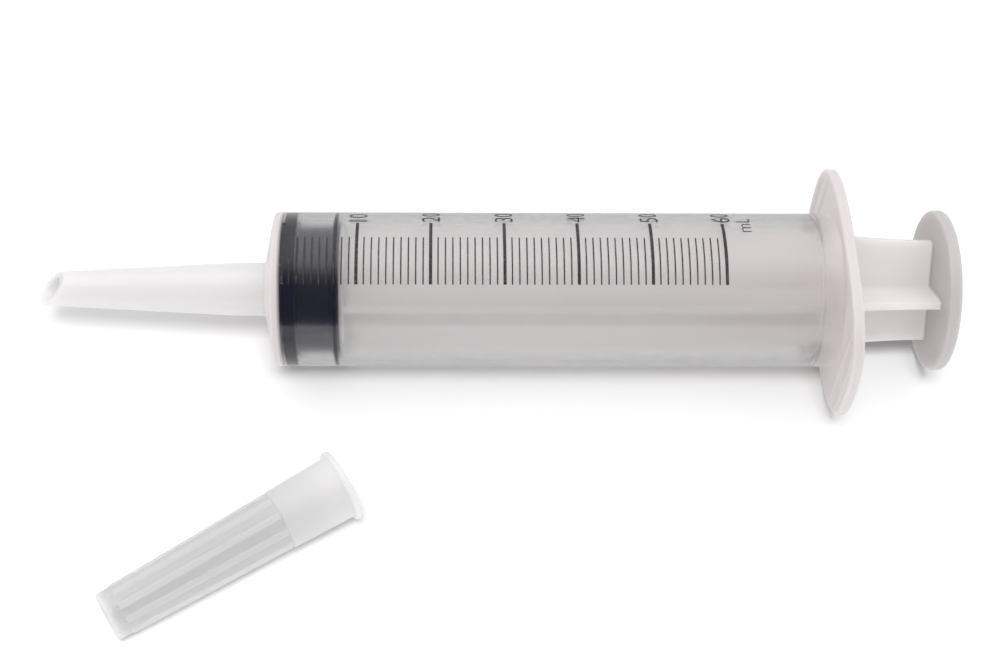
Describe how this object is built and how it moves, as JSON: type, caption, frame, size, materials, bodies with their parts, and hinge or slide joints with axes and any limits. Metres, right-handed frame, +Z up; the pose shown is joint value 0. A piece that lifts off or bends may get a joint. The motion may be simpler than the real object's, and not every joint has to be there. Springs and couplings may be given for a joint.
{
  "type": "catheter tip syringe",
  "caption": "Clear sixty millilitre syringe with a long tapered slant-cut tip, oval finger flange, ribbed plunger, dark rubber stopper and separate tip cap.",
  "frame": {"origin": "middle of the footprint on the table, with the syringe lying on its front edge and its finger flange", "axes": "+X from the tapered tip to the thumb disc, +Y away from the tip cap, +Z up; the syringe's own axis rises 0.6 degrees towards the thumb disc because the flange is wider than the barrel"},
  "size_m": [0.1894, 0.1, 0.035],
  "materials": {
    "clear_polypropylene": "clear, slightly milky moulded polypropylene",
    "black_ink": "screen-printed ink",
    "navy_rubber": "smooth lubricated rubber",
    "milky_polypropylene": "milky white moulded polypropylene",
    "cap_polypropylene": "translucent moulded polypropylene"
  },
  "bodies": {
    "barrel": {"barrel": "clear_polypropylene", "scale_marks": "black_ink", "tip_cap": "cap_polypropylene"},
    "stopper": {"stopper": "navy_rubber"},
    "plunger": {"plunger": "milky_polypropylene"}
  },
  "joints": [
    {"name": "plunger_slide", "type": "slide", "parent": "barrel", "child": "stopper", "axis": [0.9999, 0, 0.0121], "range_m": [0, 0.0982]},
    {"name": "plunger_turn", "type": "hinge", "parent": "stopper", "child": "plunger", "pos_m": [-0.04521, 0.02335, 0.01609], "axis": [0.9999, 0, 0.0121], "continuous": true}
  ]
}
